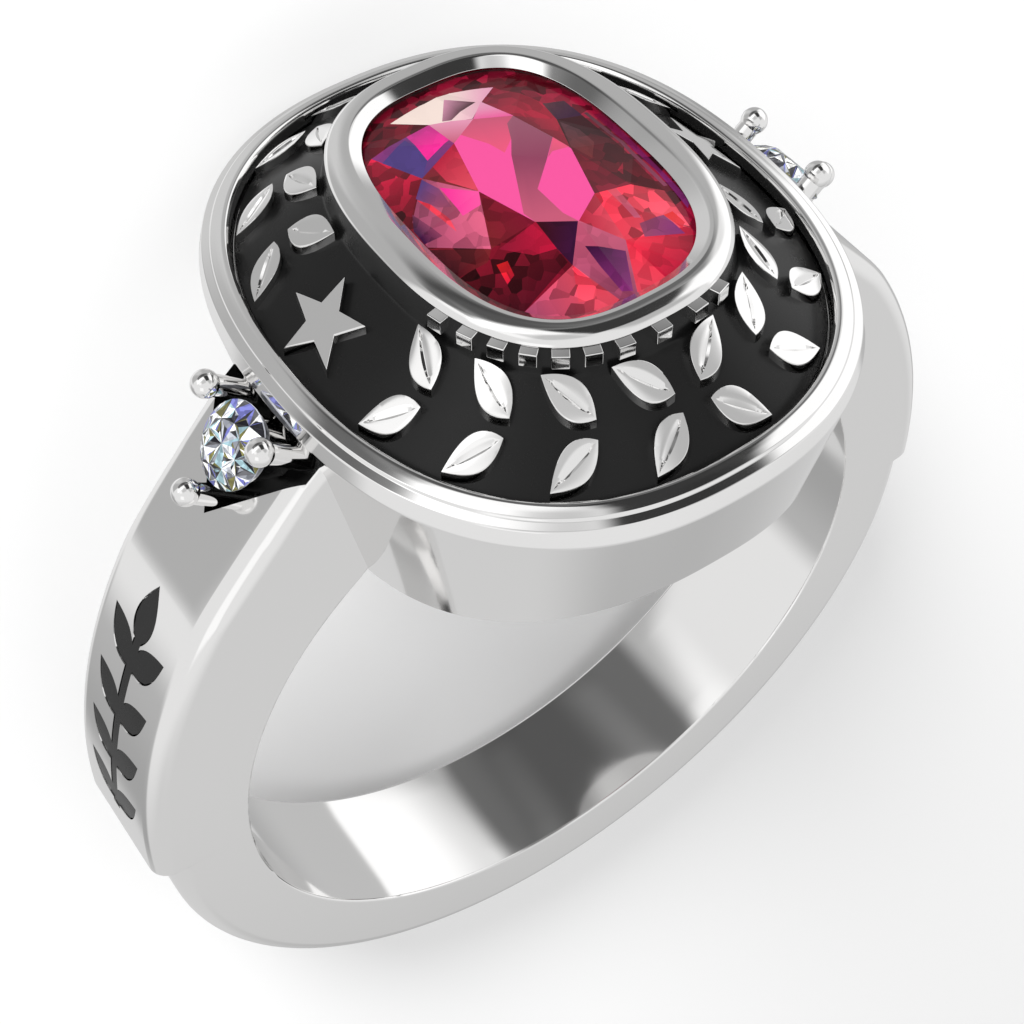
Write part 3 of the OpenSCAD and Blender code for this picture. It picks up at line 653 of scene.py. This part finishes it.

# The stone's reds with painted reflections, glare and light through the cut, in plan, drawn from back
# to front: colour, second colour and the line from the first to the second, amount of painted
# broken sparkle, outline
STONE_RED_AND_PAINTED_LIGHT = [
    ("wine", "garnet", (-2, 0, 2, 0), 0.9, [(-3, -4), (3, -4), (3, 4), (-3, 4)]),
    ("garnet", "wine", (0, 3.6, 0, 2.9), 0.5, [(-2.5, 2.0), (-1.2, 3.0), (2.6, 2.2), (2.6, 4), (-2.5, 4)]),
    ("maroon", "wine", (-1.9, 2.7, -1.2, 2.4), 0.8,
     [(-2.1, 2.38), (-0.65, 2.37), (-1.17, 3.0), (-2.0, 2.72)]),
    ("crimson", "wine", (-2.1, 1.9, -2.3, 0.6), 0.9,
     [(-2.6, 0.2), (-1.6, 1.14), (-1.98, 2.37), (-2.6, 2.37)]),
    ("plum", "violet", (-1.9, 2.3, -1.6, 1.7), 0.1,
     [(-1.98, 2.37), (-0.65, 2.37), (-0.69, 1.4), (-1.6, 1.14)]),
    ("violet", "violet", (0, 0, 1, 0), 0.1, [(-1.9, 2.1), (-1.25, 2.3), (-1.22, 1.28), (-1.6, 1.14)]),
    ("orchid", "fuchsia", (-0.9, 2.35, -0.95, 1.75), 0.1,
     [(-1.17, 2.37), (-0.65, 2.37), (-0.69, 1.42), (-1.28, 1.42)]),
    ("plum", "violet", (-0.8, 1.5, -1.5, 1.2), 0.0,
     [(-1.28, 1.44), (-0.69, 1.58), (-0.69, 1.4), (-1.6, 1.14)]),
    ("umber", "garnet", (-1.4, 1.0, -1.2, 1.1), 0.3, [(-1.6, 1.14), (-0.69, 1.4), (-1.06, 0)]),
    ("crimson", "coral", (-1.1, 1.2, -1.08, 0.1), 0.2,
     [(-1.3, 1.22), (-0.69, 1.4), (-1.06, 0), (-1.33, 0.7)]),
    ("heather", "rose", (-2.2, 0.3, -1.3, -0.4), 0.35,
     [(-1.6, 1.14), (-1.06, 0), (-1.6, -1.2), (-2.42, -0.3), (-2.3, 0.4)]),
    ("violet", "heather", (-1.8, 1.0, -1.65, 0.4), 0.1,
     [(-1.95, 0.82), (-1.62, 1.12), (-1.52, 0.66), (-1.6, 0.1), (-1.78, 0.3)]),
    ("scarlet", "coral", (-1.9, 0.6, -1.8, -0.4), 0.4,
     [(-1.95, 0.78), (-1.84, 0.5), (-1.78, -0.1), (-1.84, -0.42), (-1.9, 0.1)]),
    ("pink", "fuchsia", (-1.1, 0, -1.5, 0.4), 0.0,
     [(-1.5, 0.68), (-1.06, 0), (-1.2, -0.27), (-1.57, -0.22)]),
    ("night", "heather", (-2.35, 0.1, -2.0, 0.1), 0.4,
     [(-2.4, 0.2), (-2.2, 0.55), (-2.08, -0.3), (-2.42, -0.2)]),
    ("umber", "garnet", (-1.4, -0.8, -0.8, -0.8), 0.3, [(-1.06, 0), (-0.66, -1.28), (-1.6, -1.2)]),
    ("umber", "maroon", (-1.6, -1.2, -2.3, -0.9), 0.4,
     [(-2.45, -0.35), (-1.6, -1.2), (-1.78, -1.4), (-2.4, -1.3)]),
    ("wine", "maroon", (-1.6, -1.5, -1.6, -2.5), 1.0,
     [(-1.78, -1.38), (-1.6, -1.2), (-0.66, -1.28), (-0.66, -2.3), (-1.9, -2.7), (-2.5, -1.6)]),
    ("garnet", "crimson", (-1.4, -1.4, -0.8, -1.8), 0.3,
     [(-1.5, -1.3), (-0.66, -1.28), (-0.66, -1.96), (-1.1, -1.84)]),
    ("flame", "crimson", (-1.7, -1.5, -1.7, -2.1), 0.5,
     [(-1.72, -1.55), (-1.52, -1.62), (-1.6, -1.95), (-1.8, -2.02)]),
    ("maroon", "night", (-0.6, -1.4, -0.1, -1.8), 0.2,
     [(-0.66, -1.28), (0, -1.7), (-0.62, -2.4), (-0.66, -1.96)]),
    ("heather", "coral", (-1.8, -2.7, -0.6, -2.9), 0.6,
     [(-0.62, -2.4), (-1.95, -2.72), (-1.5, -3.3), (-0.1, -3.7)]),
    ("scarlet", "coral", (-0.7, -2.6, -0.9, -3.1), 0.6, [(-0.62, -2.4), (-0.98, -3.1), (-0.4, -3.3)]),
    ("rose", "heather", (0, -1.9, -0.3, -3.2), 0.2,
     [(0, -1.7), (0.57, -2.42), (0, -3.7), (-0.25, -3.7), (-0.62, -2.4)]),
    ("night", "plum", (-0.1, -2.3, 0.1, -3.2), 0.2,
     [(-0.2, -2.2), (0.08, -2.38), (0.42, -2.62), (0.02, -3.4), (-0.16, -3.3), (-0.2, -2.7)]),
    ("coral", "scarlet", (0, -3.4, 0.7, -2.6), 0.3, [(0.57, -2.42), (0.8, -3.7), (0, -3.7)]),
    ("scarlet", "crimson", (0.9, -2.6, 1.3, -3.1), 0.3,
     [(0.57, -2.42), (1.95, -2.6), (1.9, -3.4), (0.78, -3.7)]),
    ("crimson", "coral", (0.1, -1.7, 0.6, -2.0), 0.4, [(0, -1.7), (0.68, -1.28), (0.57, -2.42)]),
    ("scarlet", "coral", (0.8, -1.4, 1.5, -2.3), 0.7,
     [(0.57, -2.42), (0.68, -1.28), (1.55, -1.25), (2.08, -1.62), (1.92, -2.62)]),
    ("heather", "plum", (1.2, -2.2, 1.6, -2.6), 0.2,
     [(1.05, -2.2), (1.62, -2.2), (1.72, -2.74), (0.95, -2.5)]),
    ("coral", "rose", (1.0, -1.3, 1.1, -2.0), 0.2,
     [(0.98, -1.27), (1.2, -1.26), (1.16, -2.1), (1.04, -2.05)]),
    ("flame", "scarlet", (1.7, -2.2, 1.8, -2.6), 0.1,
     [(1.62, -2.2), (1.86, -2.16), (1.9, -2.5), (1.74, -2.62)]),
    ("garnet", "crimson", (0.7, 2.2, 1.3, 1.5), 0.3,
     [(0.57, 2.37), (0.7, 1.42), (1.49, 1.08), (1.6, 1.7), (1.1, 2.7)]),
    ("dusk", "night", (1.6, 1.7, 1.9, 1.1), 0.1, [(1.58, 1.7), (2.05, 1.62), (2.08, 1.04), (1.49, 1.08)]),
    ("crimson", "garnet", (1.4, 1.0, 0.9, 1.0), 0.2, [(0.7, 1.42), (1.05, 0), (1.49, 1.08)]),
    ("wine", "maroon", (1.4, -0.9, 1.9, 0.8), 0.5,
     [(1.49, 1.08), (2.08, 1.04), (2.14, -0.4), (2.08, -1.62), (1.55, -1.25), (1.05, 0)]),
    ("maroon", "maroon", (0, 0, 1, 0), 0.1, [(1.55, 1.06), (2.08, 1.04), (2.13, 0.1), (1.74, 0.5)]),
    ("dusk", "umber", (1.3, 0.7, 1.4, -0.2), 0.2,
     [(1.5, 0.98), (1.7, 0.62), (1.68, 0.1), (1.3, -0.36), (1.1, 0.06)]),
    ("crimson", "wine", (1.7, -0.8, 1.6, -0.6), 0.4, [(1.84, -0.62), (1.6, -0.95), (1.58, -0.8)]),
    ("wine", "garnet", (1.0, -0.4, 1.4, -1.2), 0.4, [(1.05, 0), (1.55, -1.25), (0.68, -1.28)]),
    # Painted reflection of the girdle, in stripes down the right edge
    ("dusk", "heather", (2.1, 1.2, 2.2, -1.4), 0.0,
     [(2.16, 1.1), (2.24, 1.1), (2.3, 0), (2.26, -1.5), (2.16, -1.5), (2.2, 0)]),
    ("garnet", "plum", (2.3, 1.2, 2.4, -1.6), 0.2,
     [(2.32, 1.0), (2.6, 1.0), (2.6, -2.2), (2.2, -2.2), (2.34, -1.0)]),
    # From here on: painted glare on the upper crown, and the table's pink with painted reflections across
    # it
    ("cream", "pale", (0.2, 3.1, 0.9, 2.6), 0.0,
     [(-1.15, 3.0), (-0.4, 3.12), (0.3, 3.1), (1.1, 2.72), (0.6, 2.37), (0, 1.8), (-0.65, 2.37)]),
    ("maroon", "pale", (0.4, 2.5, 0, 3.0), 0.0, [(-0.42, 2.24), (-0.28, 2.12), (0.48, 2.42), (0.06, 2.92)]),
    ("rose", "pale", (-0.4, 1.7, -0.1, 2.0), 0.0, [(-0.69, 1.4), (0, 1.78), (-0.3, 2.1), (-0.65, 2.37)]),
    ("pale", "pink", (0.5, 2.2, 0.3, 1.6), 0.0, [(0, 1.78), (0.7, 1.42), (0.57, 2.37)]),
    ("pink", "pink", (0, 0, 1, 0), 0.0,
     [(1.06, 0), (0.69, 1.42), (0, 1.78), (-0.69, 1.4), (-1.06, 0), (-0.67, -1.28), (0, -1.72),
      (0.68, -1.28)]),
    ("rose", "salmon", (0.3, 1.6, 0, 0.8), 0.0,
     [(-0.45, 1.53), (0, 1.78), (0.69, 1.42), (0.3, 0.9), (-0.05, 0.62), (-0.15, 1.0)]),
    ("mauve", "heather", (0.6, 1.2, 0.2, 0.2), 0.0,
     [(0.47, 1.3), (0.69, 1.42), (0.97, 0.48), (0.52, 0.03), (0.02, 0.5), (0.26, 0.85)]),
    ("rose", "heather", (-0.5, -1.1, 0.3, 0.1), 0.0,
     [(0.02, 0.5), (0.52, 0.03), (-0.12, -0.57), (-0.11, -1.37), (0, -1.72), (-0.67, -1.28),
      (-0.72, -0.98)]),
    ("salmon", "rose", (0.9, 0.3, 0.6, 0.05), 0.0,
     [(0.97, 0.48), (1.06, 0.06), (0.72, 0.14), (0.55, 0.04)]),
]


def stone_crown(faces):
    """The crown cut along its facets and along the lines of the painted reflections: points, faces, corner
    colours.
    """
    limit = [o * 0.99 for o in STONE_EDGE[:2]] + [STONE_EDGE[2]]

    def held(x, y):
        far = (abs(x / limit[0]) ** limit[2] + abs(y / limit[1]) ** limit[2]) ** (1 / limit[2])
        return (x / far, y / far) if far > 1 else (x, y)

    shapes = [(*entry[:4], [held(*q) for q in entry[4]]) for entry in STONE_RED_AND_PAINTED_LIGHT]
    shapes[0] = (*STONE_RED_AND_PAINTED_LIGHT[0][:4], [(3 * x, 3 * y) for x, y in STONE_RED_AND_PAINTED_LIGHT[0][4]])
    flat, edges = [], []
    for loop in [[tuple(q[:2]) for q in f] for f in faces] + [shape[4] for shape in shapes[1:]]:
        first = len(flat)
        flat += [Vector(q) for q in loop]
        edges += [(first + i, first + (i + 1) % len(loop)) for i in range(len(loop))]
    flat, _, triangles, *_ = delaunay_2d_cdt(flat, edges, [], 0, 1e-4)
    points = [(v[0], v[1], height_on(faces, v[0], v[1])) for v in flat]
    kept, colours = [], []
    for tri in triangles:
        (ax, ay), (bx, by), (cx, cy) = (flat[i] for i in tri)
        if abs((bx - ax) * (cy - ay) - (by - ay) * (cx - ax)) < 1e-7:
            continue
        middle = ((ax + bx + cx) / 3, (ay + by + cy) / 3)
        one, two, (x0, y0, x1, y1), painted_sparkle, _ = [e for e in shapes if within(middle, e[4])][-1]
        one, two = np.array(linear(one)), np.array(linear(two))
        corners = []
        for i in tri:
            dx, dy = x1 - x0, y1 - y0
            k = ((flat[i][0] - x0) * dx + (flat[i][1] - y0) * dy) / (dx ** 2 + dy ** 2)
            corners.append((*(one + (two - one) * min(max(k, 0), 1)), painted_sparkle))
        kept.append(tuple(tri))
        colours.append(corners)
    return points, kept, colours


def centre_stone(materials):
    top, star_z = GIRDLE_Z + CROWN_H, GIRDLE_Z + 0.31
    table = [(1.06, 0, top), (0.69, 1.42, top), (0, 1.78, top), (-0.69, 1.4, top),
             (-1.06, 0, top), (-0.67, -1.28, top), (0, -1.72, top), (0.68, -1.28, top)]
    star = [(1.55, -1.25, star_z), (1.49, 1.08, star_z), (0.58, 2.37, star_z), (-0.65, 2.37, star_z),
            (-1.6, 1.14, star_z), (-1.6, -1.2, star_z), (-0.62, -2.4, star_z), (0.57, -2.42, star_z)]
    girdle = ring_of(STONE_EDGE, GIRDLE_Z, 32)
    edge = GIRDLE_T / 2
    faces = crown_faces(table, star, [(x, y, z + edge) for x, y, z in girdle])
    belly = ring_of([1.55, 2.05, 2.3], GIRDLE_Z - 0.5 * PAVILION_H, 16)
    keel = ring_of([0.1, 0.5, 2], GIRDLE_Z - PAVILION_H, 8)
    lower = lower_faces(girdle, edge, belly, keel)
    return cut_stone("centre_stone_cut", stone_crown(faces), lower, materials)


def accent_stone(name, mirrored, materials):
    """Round brilliant whose crown facets are broken into small pieces of painted glints and reflections."""
    r = ACCENT_D / 2
    girdle = ring_of([r, r, 2], 0, 32)
    table = ring_of([0.55 * r] * 2 + [2], 0.32 * r, 8)
    star = ring_of([0.78 * r] * 2 + [2], 0.206 * r, 8, -pi / 8)
    edge = 0.02 * r
    faces = crown_faces(table, star, [(x, y, z + edge) for x, y, z in girdle])
    rng = np.random.default_rng(5 + mirrored)
    flat, edges = [], []
    for f in faces:
        first = len(flat)
        flat += [Vector(q[:2]) for q in f]
        edges += [(first, first + 1), (first + 1, first + 2), (first + 2, first)]
    for _ in range(SPLINTERS):
        turn, far = 2 * pi * rng.random(), r * 0.97 * sqrt(rng.random())
        flat.append(Vector((far * cos(turn), far * sin(turn))))
    flat, _, triangles, *_ = delaunay_2d_cdt(flat, edges, [], 0, 1e-5)
    points = [(v[0], v[1], height_on(faces, v[0], v[1])) for v in flat]
    colours = [[(*ACCENT_PAINTED_GLINTS[rng.integers(len(ACCENT_PAINTED_GLINTS))], ACCENT_PAINTED_SPARKLE)] * 3 for _ in triangles]
    belly = ring_of([0.42 * r] * 2 + [2], -0.5 * r, 16)
    keel = ring_of([0.03 * r] * 2 + [2], -0.83 * r, 8)
    crown = (points, [tuple(t) for t in triangles], colours)
    piece = cut_stone(name, crown, lower_faces(girdle, edge, belly, keel), materials)
    stand = (MIRROR if mirrored else Matrix()) @ RIGHT_ACCENT
    piece.data.transform(stand @ Matrix.Translation((0, 0, ACCENT_UP)))
    if mirrored:
        piece.data.flip_normals()
    return piece


# Materials

def shader(name, **inputs):
    material = bpy.data.materials.new(name)
    material.use_nodes = True
    node = material.node_tree.nodes["Principled BSDF"]
    for key, value in inputs.items():
        node.inputs[key.replace("_", " ")].default_value = value
    return material, material.node_tree, node


def fine_surface(tree, node, scale, roughness, bump):
    """Fine procedural variation of roughness and a trace of bump."""
    nodes, links = tree.nodes, tree.links
    where = nodes.new("ShaderNodeTexCoord")
    noise = nodes.new("ShaderNodeTexNoise")
    noise.inputs["Scale"].default_value = scale
    noise.inputs["Detail"].default_value = 6
    spread = nodes.new("ShaderNodeMapRange")
    spread.inputs["To Min"].default_value, spread.inputs["To Max"].default_value = roughness
    relief = nodes.new("ShaderNodeBump")
    relief.inputs["Strength"].default_value = bump
    relief.inputs["Distance"].default_value = 0.00001
    links.new(where.outputs["Object"], noise.inputs["Vector"])
    links.new(noise.outputs["Fac"], spread.inputs["Value"])
    links.new(spread.outputs["Result"], node.inputs["Roughness"])
    links.new(noise.outputs["Fac"], relief.inputs["Height"])
    links.new(relief.outputs["Normal"], node.inputs["Normal"])


def metal():
    material, tree, node = shader("polished_white_metal", Base_Color=(0.87, 0.865, 0.86, 1), Metallic=1.0)
    fine_surface(tree, node, 900, (0.05, 0.09), 0.02)
    return material


def black_fill_and_pocket_shade():
    # Black enamel of the collar and inlays, also used as painted shade in the pockets
    material, tree, node = shader("black_enamel_and_pocket_shade", Base_Color=(0.004, 0.004, 0.004, 1), IOR=1.33)
    fine_surface(tree, node, 1400, (0.22, 0.34), 0.08)
    return material


def cut_gem(name, tint, painted_sparkle, painted_glow):
    """A cut stone's facets: its colour and painted reflections under a clear polish, some broken into
    painted sparkle, with a faint painted glow.
    """
    material, tree, node = shader(name, Roughness=0.5, Coat_Weight=0.55, Coat_Roughness=0.01, Coat_IOR=1.4)
    node.inputs["Specular IOR Level"].default_value = 0.05
    nodes, links = tree.nodes, tree.links
    facet = nodes.new("ShaderNodeVertexColor")
    facet.layer_name = "facet"
    where = nodes.new("ShaderNodeTexCoord")
    cells = nodes.new("ShaderNodeTexVoronoi")
    cells.inputs["Scale"].default_value = painted_sparkle
    links.new(where.outputs["Object"], cells.inputs["Vector"])
    split = nodes.new("ShaderNodeSeparateColor")
    links.new(cells.outputs["Color"], split.inputs["Color"])
    spread = nodes.new("ShaderNodeMapRange")
    # How much darker or brighter than its facet each painted sparkle may be
    spread.inputs["To Min"].default_value, spread.inputs["To Max"].default_value = -0.88, 1.2
    links.new(split.outputs["Red"], spread.inputs["Value"])
    amount = nodes.new("ShaderNodeMath")
    amount.operation = "MULTIPLY_ADD"
    links.new(facet.outputs["Alpha"], amount.inputs[0])
    links.new(spread.outputs["Result"], amount.inputs[1])
    amount.inputs[2].default_value = 1.0
    colour = nodes.new("ShaderNodeVectorMath")
    colour.operation = "SCALE"
    links.new(facet.outputs["Color"], colour.inputs[0])
    links.new(amount.outputs["Value"], colour.inputs["Scale"])
    stain = nodes.new("ShaderNodeVectorMath")
    stain.operation = "MULTIPLY"
    stain.inputs[1].default_value = tint
    links.new(colour.outputs["Vector"], stain.inputs[0])
    links.new(stain.outputs["Vector"], node.inputs["Base Color"])
    # The facet colours also glow faintly: painted glow
    links.new(stain.outputs["Vector"], node.inputs["Emission Color"])
    node.inputs["Emission Strength"].default_value = painted_glow
    return material


# Studio

def world():
    """Soft studio seen by the upright ring: pale all round, with brighter and darker panels."""
    sky = bpy.data.worlds.new("studio")
    bpy.context.scene.world = sky
    sky.use_nodes = True
    nodes, links = sky.node_tree.nodes, sky.node_tree.links
    background = nodes["Background"]
    where = nodes.new("ShaderNodeTexCoord").outputs["Generated"]

    def math(operation, *values):
        node = nodes.new("ShaderNodeMath")
        node.operation = operation
        for i, v in enumerate(values):
            if isinstance(v, (int, float)):
                node.inputs[i].default_value = v
            else:
                links.new(v, node.inputs[i])
        return node.outputs["Value"]

    def ramp(value, start, end, low, high):
        node = nodes.new("ShaderNodeMapRange")
        node.interpolation_type = "SMOOTHSTEP"
        node.inputs["From Min"].default_value, node.inputs["From Max"].default_value = start, end
        node.inputs["To Min"].default_value, node.inputs["To Max"].default_value = low, high
        links.new(value, node.inputs["Value"])
        return node.outputs["Result"]

    def along(axis):
        node = nodes.new("ShaderNodeVectorMath")
        node.operation = "DOT_PRODUCT"
        node.inputs[1].default_value = (LAY_DOWN.to_3x3() @ Vector(axis)).normalized()
        links.new(where, node.inputs[0])
        return node.outputs["Value"]

    x, y, z = along((1, 0, 0)), along((0, 1, 0)), along((0, 0, 1))
    height = math("ABSOLUTE", z)
    across, back = math("ARCTAN2", x, height), math("ARCTAN2", y, height)
    heading, rise = math("ARCTAN2", y, x), math("ARCSINE", z)
    upper, lower = ramp(z, -0.02, 0.02, 0, 1), ramp(z, -0.02, 0.02, 1, 0)
    tone = None

    def window(angle, low, high, soft, wraps=False):
        off = math("SUBTRACT", angle, radians((low + high) / 2))
        off = math("ABSOLUTE", math("WRAP", off, pi, -pi) if wraps else off)
        half = radians(high - low) / 2
        return ramp(off, half - radians(soft) / 2, half + radians(soft) / 2, 1, 0)

    for kind, first, second, (soft, soft_too), value in STUDIO:
        if kind in ("side", "sky"):
            inside = math("MULTIPLY", window(heading, *first, soft, True), window(rise, *second, soft_too))
        else:
            inside = math("MULTIPLY", window(across, *first, soft), window(back, *second, soft_too))
        if kind != "side":
            inside = math("MULTIPLY", inside, lower if kind == "below" else upper)
        factor = math("MULTIPLY_ADD", inside, value - 1, 1)
        tone = factor if tone is None else math("MULTIPLY", tone, factor)
    links.new(tone, background.inputs["Color"])
    background.inputs["Strength"].default_value = STUDIO_LIGHT


STUDIO_LIGHT = 0.87
FLOOR_HALF, FLOOR_TONE, FLOOR_DROP = 0.6, 0.87, 0.00002

# The studio's panels, in degrees, each with the softness of its edges and its share of the light.
# "above" and "below" give the angles from straight above or below the upright ring, across the
# shoulders and along the finger. "side" gives the heading, from the right shoulder round by the far
# side, and the height over the horizon. "sky" is a side panel cut off sharply at the horizon.
STUDIO = [
    ("above", (-39, 40), (15, 37), (8, 8), 0.32),
    ("above", (-16, 22), (15, 36), (24, 8), 0.36),
    ("above", (4, 33), (-28, 15), (6, 6), 0.05),
    ("above", (-66, 3), (-6, 15), (8, 8), 1.3),
    ("above", (-36, 0), (-36, -9), (12, 12), 0.70),
    ("side", (34, 148), (-4, 58), (6, 8), 0.55),
    ("side", (76, 106), (-8, 42), (18, 18), 1.40),
    ("sky", (-34, 31), (-40, 32), (5, 16), 1.36),
    ("sky", (-34, 16), (32, 60), (10, 16), 1.33),
    ("side", (12, 74), (-46, 0), (12, 4), 0.66),
    ("side", (-68, -38), (28, 60), (14, 14), 0.60),
    ("side", (-152, -128), (-13, 14), (8, 8), 1.27),
    ("side", (124, 162), (-58, -20), (12, 12), 0.58),
    ("side", (148, 212), (32, 74), (12, 12), 1.25),
    ("below", (-50, 50), (-50, 50), (30, 30), 0.79),
    ("below", (-2, 32), (-22, 22), (20, 20), 0.72),
]


def floor():
    bm = bmesh.new()
    bmesh.ops.create_grid(bm, x_segments=12, y_segments=12, size=FLOOR_HALF)
    mesh = bpy.data.meshes.new("studio_floor")
    bm.to_mesh(mesh)
    bm.free()
    piece = bpy.data.objects.new("studio_floor", mesh)
    bpy.context.scene.collection.objects.link(piece)
    piece.location.z = -FLOOR_DROP
    mesh.materials.append(shader("floor_paper", Base_Color=(FLOOR_TONE,) * 3 + (1,), Roughness=0.9)[0])
    piece.visible_glossy = False


def light(name, location, target, size, power):
    lamp = bpy.data.lights.new(name, "AREA")
    lamp.shape, lamp.size, lamp.energy = "DISK", size, power
    piece = bpy.data.objects.new(name, lamp)
    bpy.context.scene.collection.objects.link(piece)
    piece.location = location
    piece.rotation_mode = "QUATERNION"
    piece.rotation_quaternion = (Vector(target) - Vector(location)).to_track_quat("-Z", "Y")
    piece.visible_glossy = False


CAMERA_ANGLES = radians(34.08), radians(51.29), radians(-0.52)
CAMERA_AT = -15.83, -22.84, 38.17
CAMERA_LENS = 67.8


def camera():
    """Camera at the photograph's viewing angle, found upright and laid down with the ring."""
    azimuth, elevation, roll = CAMERA_ANGLES
    back = Vector((-sin(azimuth) * cos(elevation), -cos(azimuth) * cos(elevation), sin(elevation)))
    right = Vector((cos(azimuth), -sin(azimuth), 0))
    up = back.cross(right)
    right, up = cos(roll) * right + sin(roll) * up, cos(roll) * up - sin(roll) * right
    axes = Matrix((right, up, back)).transposed().to_4x4()
    lens = bpy.data.cameras.new("camera")
    lens.sensor_width, lens.lens = 36, CAMERA_LENS
    lens.clip_start, lens.clip_end = 0.001, 10
    piece = bpy.data.objects.new("camera", lens)
    bpy.context.scene.collection.objects.link(piece)
    piece.rotation_mode = "QUATERNION"
    turn = LAY_DOWN.to_3x3().normalized().to_4x4()
    piece.location = LAY_DOWN @ Vector(CAMERA_AT)
    piece.rotation_quaternion = (turn @ axes).to_quaternion()
    bpy.context.scene.camera = piece


# The ring

METAL, BLACK = metal(), black_fill_and_pocket_shade()
# The stones' facet colours carry painted reflections and sparkle, and a faint painted glow
RUBY = cut_gem("red_stone_crown", tint=(0.44, 0.42, 0.42), painted_sparkle=3600, painted_glow=0.08)
RUBY_BACK = cut_gem("red_stone_back", tint=(0.45, 0.006, 0.03), painted_sparkle=1500, painted_glow=0.1)
CLEAR = cut_gem("clear_stone_crown", tint=(0.6, 0.6, 0.6), painted_sparkle=9000, painted_glow=0.1)
CLEAR_BACK = cut_gem("clear_stone_back", tint=(0.6, 0.62, 0.68), painted_sparkle=3000, painted_glow=0.05)


def ring_metal():
    bore = cylinder("bore", BORE_R, -9, 9, FINE_TURN, METAL)
    top = head(METAL)
    boolean(top, bore, "DIFFERENCE")
    hoop = band(METAL)
    for side in (False, True):
        # Each pocket's walls come out black: painted shade
        boolean(hoop, pocket(side, BLACK), "DIFFERENCE")
        boolean(hoop, sprig(side, INLAY_DEPTH, FILL_GAP, METAL), "DIFFERENCE")
    parts = Parts()
    for sx in (False, True):
        for sy in (False, True):
            leaves(parts, sx, sy)
        setting(parts, sx)
    stars(parts)
    bars(parts)
    relief = parts.build("relief", [METAL])
    finish_mesh(relief)
    for piece, name in ((top, "head_metal"), (hoop, "band_metal"), (relief, "relief_and_prongs")):
        piece.name = name
        finish_mesh(piece)
        weighted(piece)
        place(piece)
        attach(piece, "root")
        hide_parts("ring_body")


def collar_fill():
    low = ENAMEL_T - FILL_GAP
    edge = grow(COLLAR_FOOT, -FILL_GAP)
    path = [(edge, COLLAR_Z - low, 0), (edge, COLLAR_Z, 0.02), (WALL_FOOT, WALL_Z, 0.05),
            (WALL_TOP, BEZEL_Z - FILL_GAP, 0.01), (grow(WALL_TOP, -low), BEZEL_Z - FILL_GAP, 0),
            (grow(WALL_FOOT, -low), WALL_Z - low, 0)]
    rings = [oval(s[:3], s[3]) for s in filled(rounded(path))]
    parts = Parts()
    parts.add(*skin(rings, closed=True))
    piece = finish_mesh(parts.build("collar_fill", [BLACK]))
    place(piece)
    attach(piece, "root")
    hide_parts("collar_enamel")


def stones():
    clear = [CLEAR, CLEAR_BACK]
    for piece, node, slot in (
            (centre_stone([RUBY, RUBY_BACK]), "centre_stone", "red_stone"),
            (accent_stone("accent_left_cut", True, clear), "accent_stone_left", "clear_stone"),
            (accent_stone("accent_right_cut", False, clear), "accent_stone_right", "clear_stone")):
        place(piece)
        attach(piece, "root")
        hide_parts(node)


ring_metal()
collar_fill()
stones()
for name in ("shoulder_inlay_left", "shoulder_inlay_right"):
    for held in frame["nodes"][name].material_slots:
        held.material = BLACK

world()
floor()
light("softbox", location=(0.062, -0.145, 0.066), target=(0, 0.005, 0), size=0.06, power=0.33)
camera()
bpy.context.scene.view_settings.view_transform = "Standard"
bpy.context.scene.view_settings.look = "None"
